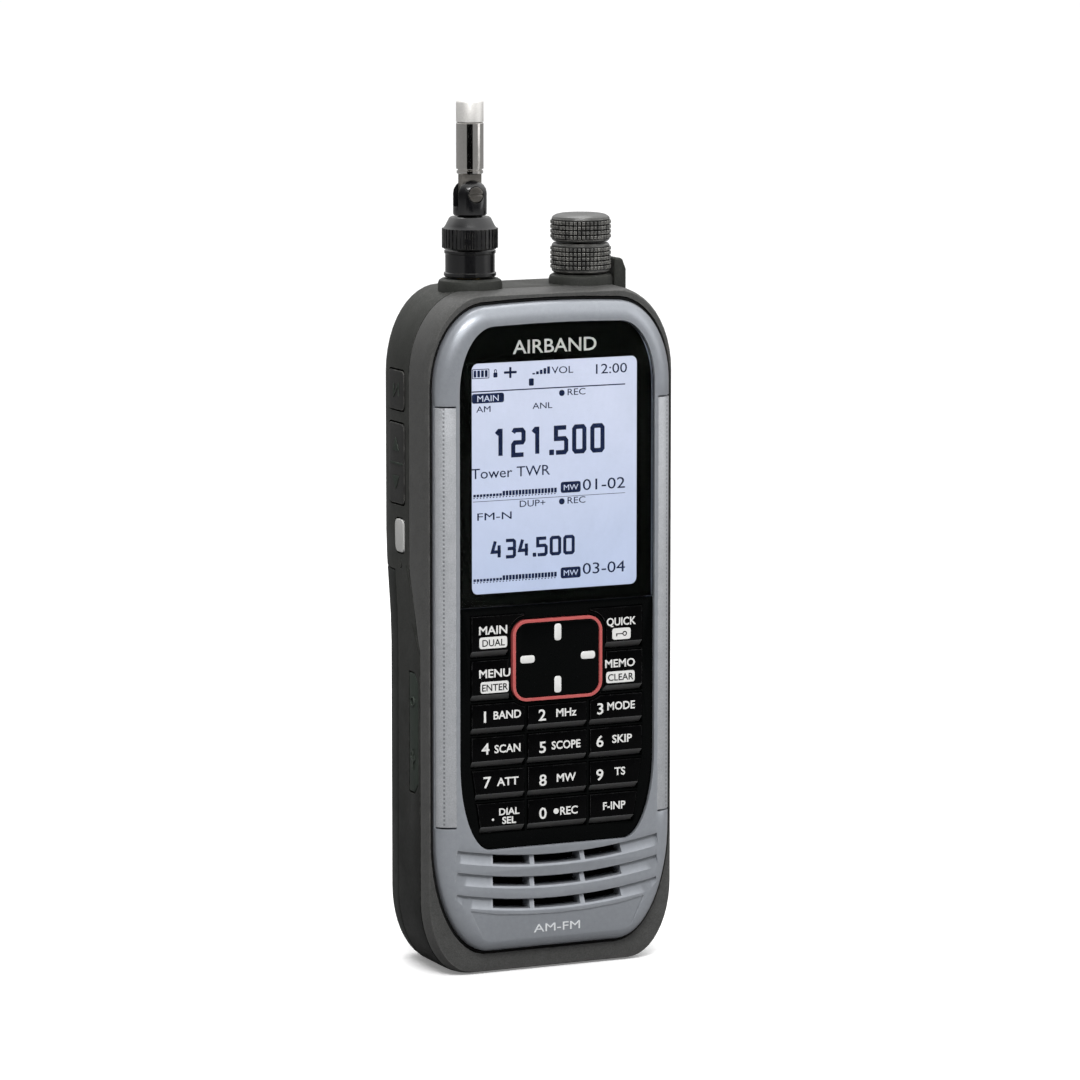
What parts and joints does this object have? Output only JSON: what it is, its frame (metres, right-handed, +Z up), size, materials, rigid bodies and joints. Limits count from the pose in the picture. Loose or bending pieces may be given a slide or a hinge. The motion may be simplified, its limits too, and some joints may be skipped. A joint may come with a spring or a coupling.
{
  "type": "handheld air-band receiver",
  "caption": "Upright handheld radio receiver with display, keypad, speaker grille, folding telescopic whip, two-tier rotary control, side keys and a removable back battery.",
  "frame": {"origin": "centre of the flat bottom face the receiver stands on", "axes": "+Z up along the antenna, the display faces -Y, +X to the right seen from the front"},
  "size_m": [0.0581, 0.0308, 0.1815],
  "materials": {
    "case_grey": "fine moulded texture",
    "seal_black": "soft black",
    "plate_silver": "satin silver paint",
    "trim_silver": "sand-textured silver paint",
    "lens_clear": "clear polished",
    "mask_black": "black print",
    "screen": "pale backlit display",
    "bezel_gloss": "gloss black",
    "key_gloss": "gloss black with pale legends",
    "ring_coral": "translucent red",
    "inner_black": "moulded black",
    "side_key_grey": "soft-touch dark grey",
    "power_key_grey": "light grey",
    "cover_rubber": "dark rubber",
    "contact_gold": "plated",
    "antenna_black": "gloss black",
    "pin_steel": "turned steel",
    "rod_chrome": "bright chrome",
    "tip_satin": "satin nickel",
    "knob_grey": "knurled dark grey",
    "board_green": "solder mask",
    "speaker_steel": "pressed steel",
    "screw_black": "black plated",
    "pack_black": "fine moulded texture",
    "cell_wrap": "shrink sleeve",
    "latch_grey": "moulded dark grey"
  },
  "bodies": {
    "case": {"front_case": "case_grey", "rear_case": "case_grey", "gasket": "seal_black", "front_plate": "plate_silver", "side_trim_left": "trim_silver", "side_trim_right": "trim_silver", "display_lens": "lens_clear", "display_frame": "mask_black", "display_module": "screen", "keypad_bezel": "bezel_gloss", "key_mat": "seal_black", "jack_block": "inner_black", "antenna_socket": "contact_gold", "antenna_barrel": "antenna_black", "antenna_collar": "antenna_black", "encoder_body": "inner_black", "main_board": "board_green", "speaker": "speaker_steel", "case_screw_1": "screw_black", "case_screw_2": "screw_black", "case_screw_3": "screw_black", "case_screw_4": "screw_black", "contact_block": "contact_gold"},
    "key_main": {"key_main": "key_gloss"},
    "key_quick": {"key_quick": "key_gloss"},
    "key_menu": {"key_menu": "key_gloss"},
    "key_clear": {"key_clear": "key_gloss"},
    "key_1": {"key_1": "key_gloss"},
    "key_2": {"key_2": "key_gloss"},
    "key_3": {"key_3": "key_gloss"},
    "key_4": {"key_4": "key_gloss"},
    "key_5": {"key_5": "key_gloss"},
    "key_6": {"key_6": "key_gloss"},
    "key_7": {"key_7": "key_gloss"},
    "key_8": {"key_8": "key_gloss"},
    "key_9": {"key_9": "key_gloss"},
    "key_dot": {"key_dot": "key_gloss"},
    "key_0": {"key_0": "key_gloss"},
    "key_entry": {"key_entry": "key_gloss"},
    "dpad_carrier": {"dpad_base": "inner_black"},
    "dpad": {"dpad_pad": "key_gloss", "dpad_ring": "ring_coral"},
    "squelch_key": {"squelch_key": "side_key_grey"},
    "rocker": {"rocker_key": "side_key_grey"},
    "power_key": {"power_key": "power_key_grey"},
    "jack_cover": {"jack_cover": "cover_rubber"},
    "clevis": {"antenna_swivel": "antenna_black", "knuckle_pin": "pin_steel"},
    "rod": {"rod_outer": "rod_chrome"},
    "rod_middle": {"rod_middle": "rod_chrome"},
    "rod_tip": {"rod_inner": "rod_chrome", "antenna_tip": "tip_satin"},
    "dial": {"dial_knob": "knob_grey", "dial_shaft": "pin_steel"},
    "volume": {"volume_knob": "knob_grey", "volume_shaft": "pin_steel"},
    "battery": {"battery_shell": "pack_black", "battery_lid": "pack_black", "battery_cell": "cell_wrap"},
    "latch": {"battery_latch": "latch_grey"}
  },
  "joints": [
    {"name": "key_main_press", "type": "slide", "parent": "case", "child": "key_main", "axis": [0, 1, 0], "range_m": [0, 0.0005], "stiffness_N_per_m": 400},
    {"name": "key_quick_press", "type": "slide", "parent": "case", "child": "key_quick", "axis": [0, 1, 0], "range_m": [0, 0.0005], "stiffness_N_per_m": 400},
    {"name": "key_menu_press", "type": "slide", "parent": "case", "child": "key_menu", "axis": [0, 1, 0], "range_m": [0, 0.0005], "stiffness_N_per_m": 400},
    {"name": "key_clear_press", "type": "slide", "parent": "case", "child": "key_clear", "axis": [0, 1, 0], "range_m": [0, 0.0005], "stiffness_N_per_m": 400},
    {"name": "key_1_press", "type": "slide", "parent": "case", "child": "key_1", "axis": [0, 1, 0], "range_m": [0, 0.0005], "stiffness_N_per_m": 400},
    {"name": "key_2_press", "type": "slide", "parent": "case", "child": "key_2", "axis": [0, 1, 0], "range_m": [0, 0.0005], "stiffness_N_per_m": 400},
    {"name": "key_3_press", "type": "slide", "parent": "case", "child": "key_3", "axis": [0, 1, 0], "range_m": [0, 0.0005], "stiffness_N_per_m": 400},
    {"name": "key_4_press", "type": "slide", "parent": "case", "child": "key_4", "axis": [0, 1, 0], "range_m": [0, 0.0005], "stiffness_N_per_m": 400},
    {"name": "key_5_press", "type": "slide", "parent": "case", "child": "key_5", "axis": [0, 1, 0], "range_m": [0, 0.0005], "stiffness_N_per_m": 400},
    {"name": "key_6_press", "type": "slide", "parent": "case", "child": "key_6", "axis": [0, 1, 0], "range_m": [0, 0.0005], "stiffness_N_per_m": 400},
    {"name": "key_7_press", "type": "slide", "parent": "case", "child": "key_7", "axis": [0, 1, 0], "range_m": [0, 0.0005], "stiffness_N_per_m": 400},
    {"name": "key_8_press", "type": "slide", "parent": "case", "child": "key_8", "axis": [0, 1, 0], "range_m": [0, 0.0005], "stiffness_N_per_m": 400},
    {"name": "key_9_press", "type": "slide", "parent": "case", "child": "key_9", "axis": [0, 1, 0], "range_m": [0, 0.0005], "stiffness_N_per_m": 400},
    {"name": "key_dot_press", "type": "slide", "parent": "case", "child": "key_dot", "axis": [0, 1, 0], "range_m": [0, 0.0005], "stiffness_N_per_m": 400},
    {"name": "key_0_press", "type": "slide", "parent": "case", "child": "key_0", "axis": [0, 1, 0], "range_m": [0, 0.0005], "stiffness_N_per_m": 400},
    {"name": "key_entry_press", "type": "slide", "parent": "case", "child": "key_entry", "axis": [0, 1, 0], "range_m": [0, 0.0005], "stiffness_N_per_m": 400},
    {"name": "dpad_up_down", "type": "hinge", "parent": "case", "child": "dpad_carrier", "pos_m": [0, -0.013, 0.06603], "axis": [1, 0, 0], "range_deg": [-2.5, 2.5], "stiffness_Nm_per_rad": 0.05},
    {"name": "dpad_left_right", "type": "hinge", "parent": "dpad_carrier", "child": "dpad", "pos_m": [0, -0.0133, 0.06603], "axis": [0, 0, 1], "range_deg": [-2.5, 2.5], "stiffness_Nm_per_rad": 0.05},
    {"name": "squelch_press", "type": "slide", "parent": "case", "child": "squelch_key", "axis": [1, 0, 0], "range_m": [0, 0.0004], "stiffness_N_per_m": 500},
    {"name": "rocker_tilt", "type": "hinge", "parent": "case", "child": "rocker", "pos_m": [-0.0272, 0.0018, 0.10665], "axis": [0, 1, 0], "range_deg": [-2.5, 2.5], "stiffness_Nm_per_rad": 0.05},
    {"name": "power_press", "type": "slide", "parent": "case", "child": "power_key", "axis": [1, 0, 0], "range_m": [0, 0.0004], "stiffness_N_per_m": 500},
    {"name": "jack_cover_hinge", "type": "hinge", "parent": "case", "child": "jack_cover", "pos_m": [-0.0284, -0.0033, 0.051], "axis": [0, 0, -1], "range_deg": [0, 110]},
    {"name": "antenna_turn", "type": "hinge", "parent": "case", "child": "clevis", "pos_m": [-0.0128, 0, 0.15], "axis": [0, 0, 1], "continuous": true},
    {"name": "antenna_fold", "type": "hinge", "parent": "clevis", "child": "rod", "pos_m": [-0.0128, 0, 0.1621], "axis": [0, -1, 0], "range_deg": [0, 90]},
    {"name": "rod_extend_1", "type": "slide", "parent": "rod", "child": "rod_middle", "axis": [0, 0, 1], "range_m": [0, 0.008]},
    {"name": "rod_extend_2", "type": "slide", "parent": "rod_middle", "child": "rod_tip", "axis": [0, 0, 1], "range_m": [0, 0.008]},
    {"name": "dial_turn", "type": "hinge", "parent": "case", "child": "dial", "pos_m": [0.0128, 0, 0.148], "axis": [0, 0, 1], "continuous": true},
    {"name": "volume_turn", "type": "hinge", "parent": "case", "child": "volume", "pos_m": [0.0128, 0, 0.154], "axis": [0, 0, 1], "range_deg": [-140, 140]},
    {"name": "battery_remove", "type": "slide", "parent": "case", "child": "battery", "axis": [0, 1, 0], "range_m": [0, 0.02]},
    {"name": "latch_slide", "type": "slide", "parent": "battery", "child": "latch", "axis": [0, 0, -1], "range_m": [0, 0.0025]}
  ]
}
